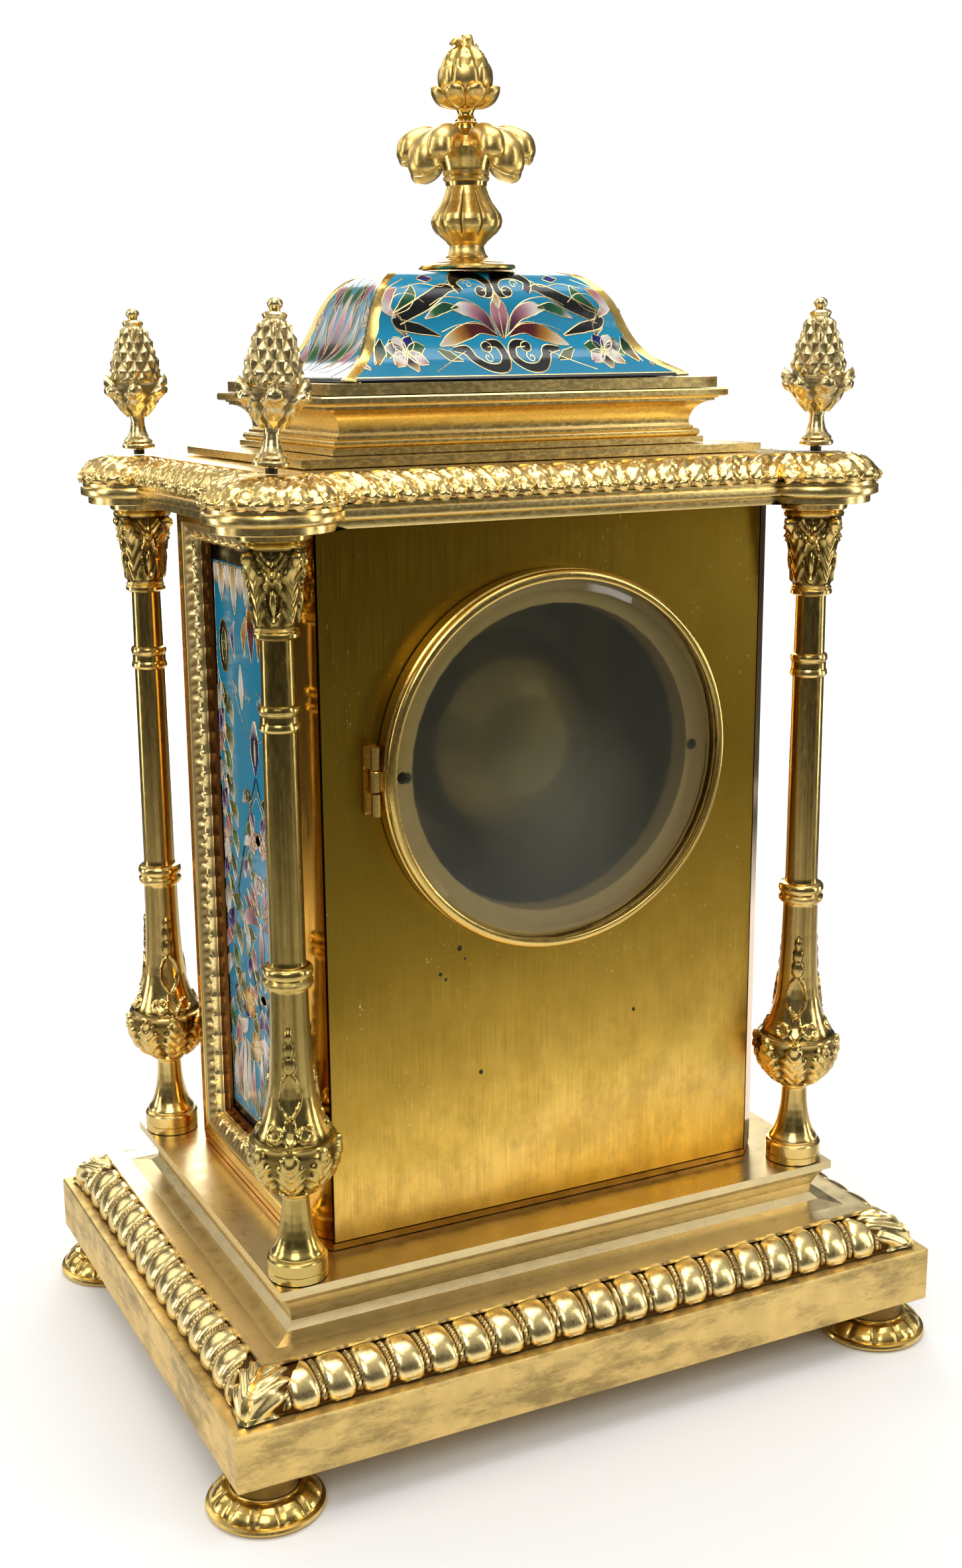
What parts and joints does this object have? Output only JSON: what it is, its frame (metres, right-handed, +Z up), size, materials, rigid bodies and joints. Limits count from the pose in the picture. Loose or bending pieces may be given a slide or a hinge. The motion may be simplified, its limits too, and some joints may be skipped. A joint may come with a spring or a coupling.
{
  "type": "mantel clock",
  "caption": "Gilt brass mantel clock with corner columns, enamel panels and dome, urn and pineapple finials, a round glazed rear door, and a pendulum movement that strikes a bell.",
  "frame": {"origin": "Centre of the feet, on the surface they stand on.", "axes": "+Z up, -Y towards the dial side, +Y towards the rear door, +X to the right as seen from the dial side."},
  "size_m": [0.2498, 0.1936, 0.4113],
  "materials": {
    "gilt_brass": "aged gilding",
    "brushed_brass": "vertical brushing, darkened towards the top",
    "enamel": "gloss, champleve enamel between gilt lines",
    "dial_enamel": "gloss",
    "glass": "clear, bevelled edge",
    "movement_brass": "satin",
    "steel": "satin",
    "blued_steel": "blued"
  },
  "bodies": {
    "case": {"attic_cavetto": "gilt_brass", "attic_plate": "gilt_brass", "back_panel": "brushed_brass", "base_slab": "gilt_brass", "bell": "movement_brass", "case_frame": "gilt_brass", "column_back_left": "gilt_brass", "column_back_right": "gilt_brass", "column_front_left": "gilt_brass", "column_front_right": "gilt_brass", "cornice_bed": "gilt_brass", "cornice_moulding": "gilt_brass", "cornice_top_plate": "gilt_brass", "dial": "dial_enamel", "enamel_dome": "enamel", "flame_bud": "gilt_brass", "foot_back_left": "gilt_brass", "foot_back_right": "gilt_brass", "foot_front_left": "gilt_brass", "foot_front_right": "gilt_brass", "front_enamel": "enamel", "front_frame": "gilt_brass", "front_hinge": "gilt_brass", "front_mount_ring": "gilt_brass", "gadroon_moulding": "gilt_brass", "movement_back_plate": "movement_brass", "movement_front_plate": "movement_brass", "pineapple_finial_back_left": "gilt_brass", "pineapple_finial_back_right": "gilt_brass", "pineapple_finial_front_left": "gilt_brass", "pineapple_finial_front_right": "gilt_brass", "rear_hinge": "gilt_brass", "rear_mount_ring": "gilt_brass", "scroll_crown": "gilt_brass", "side_enamel_left": "enamel", "side_enamel_right": "enamel", "side_frame_left": "gilt_brass", "side_frame_right": "gilt_brass", "socle": "gilt_brass", "top_slab": "gilt_brass", "urn_foot_disc": "gilt_brass", "urn_vase": "gilt_brass"},
    "rear_door": {"rear_bezel": "gilt_brass", "rear_glass": "glass"},
    "front_door": {"front_bezel": "gilt_brass", "front_glass": "glass"},
    "minute_hand": {"minute_hand": "blued_steel"},
    "hour_hand": {"hour_hand": "blued_steel"},
    "minute_wheel": {"minute_wheel": "movement_brass"},
    "escape_wheel": {"escape_wheel": "movement_brass"},
    "third_wheel": {"third_wheel": "movement_brass"},
    "centre_wheel": {"centre_wheel": "movement_brass"},
    "going_barrel": {"going_barrel": "movement_brass"},
    "strike_barrel": {"strike_barrel": "movement_brass"},
    "going_winding_arbor": {"going_winding_arbor": "steel"},
    "strike_winding_arbor": {"strike_winding_arbor": "steel"},
    "anchor": {"anchor": "steel"},
    "pendulum": {"pendulum": "movement_brass"},
    "hammer": {"hammer": "steel"}
  },
  "joints": [
    {"name": "rear_door_hinge", "type": "hinge", "parent": "case", "child": "rear_door", "pos_m": [0.0589, 0.057, 0.2014], "axis": [0, 0, -1], "range_deg": [0, 100]},
    {"name": "front_door_hinge", "type": "hinge", "parent": "case", "child": "front_door", "pos_m": [0.0589, -0.057, 0.2014], "axis": [0, 0, 1], "range_deg": [0, 100]},
    {"name": "minute_hand_turn", "type": "hinge", "parent": "case", "child": "minute_hand", "pos_m": [0, -0.0486, 0.2014], "axis": [0, 1, 0], "continuous": true},
    {"name": "hour_hand_turn", "type": "hinge", "parent": "case", "child": "hour_hand", "pos_m": [0, -0.0486, 0.2014], "axis": [0, 1, 0], "continuous": true},
    {"name": "minute_wheel_turn", "type": "hinge", "parent": "case", "child": "minute_wheel", "pos_m": [0, -0.0414, 0.1894], "axis": [0, 1, 0], "continuous": true},
    {"name": "escape_wheel_turn", "type": "hinge", "parent": "case", "child": "escape_wheel", "pos_m": [0, -0.012, 0.2198], "axis": [0, 1, 0], "continuous": true},
    {"name": "third_wheel_turn", "type": "hinge", "parent": "case", "child": "third_wheel", "pos_m": [-0.009, -0.019, 0.21265], "axis": [0, 1, 0], "continuous": true},
    {"name": "centre_wheel_turn", "type": "hinge", "parent": "case", "child": "centre_wheel", "pos_m": [0, -0.036, 0.2014], "axis": [0, 1, 0], "continuous": true},
    {"name": "going_barrel_turn", "type": "hinge", "parent": "case", "child": "going_barrel", "pos_m": [-0.0189, -0.0276, 0.1937], "axis": [0, 1, 0], "continuous": true},
    {"name": "strike_barrel_turn", "type": "hinge", "parent": "case", "child": "strike_barrel", "pos_m": [0.0189, -0.0276, 0.1937], "axis": [0, 1, 0], "continuous": true},
    {"name": "going_winding_turn", "type": "hinge", "parent": "case", "child": "going_winding_arbor", "pos_m": [-0.0189, -0.0276, 0.1937], "axis": [0, 1, 0], "continuous": true},
    {"name": "strike_winding_turn", "type": "hinge", "parent": "case", "child": "strike_winding_arbor", "pos_m": [0.0189, -0.0276, 0.1937], "axis": [0, 1, 0], "continuous": true},
    {"name": "pendulum_swing", "type": "hinge", "parent": "case", "child": "pendulum", "pos_m": [0, 0.0046, 0.2338], "axis": [0, 1, 0], "range_deg": [-3.5, 3.5]},
    {"name": "anchor_rock", "type": "hinge", "parent": "case", "child": "anchor", "pos_m": [0, -0.012, 0.2338], "axis": [0, 1, 0], "range_deg": [-3.5, 3.5]},
    {"name": "hammer_lift", "type": "hinge", "parent": "case", "child": "hammer", "pos_m": [0.041, 0.0204, 0.1754], "axis": [0, 1, 0], "range_deg": [0, 12], "stiffness_Nm_per_rad": 0.02}
  ],
  "couplings": [
    {"joint": "hour_hand_turn", "follows": "minute_hand_turn", "ratio": 0.083333},
    {"joint": "minute_wheel_turn", "follows": "minute_hand_turn", "ratio": -0.33333},
    {"joint": "third_wheel_turn", "follows": "escape_wheel_turn", "ratio": -0.2},
    {"joint": "centre_wheel_turn", "follows": "escape_wheel_turn", "ratio": 0.04},
    {"joint": "going_barrel_turn", "follows": "escape_wheel_turn", "ratio": -0.008},
    {"joint": "anchor_rock", "follows": "pendulum_swing", "ratio": 1}
  ]
}
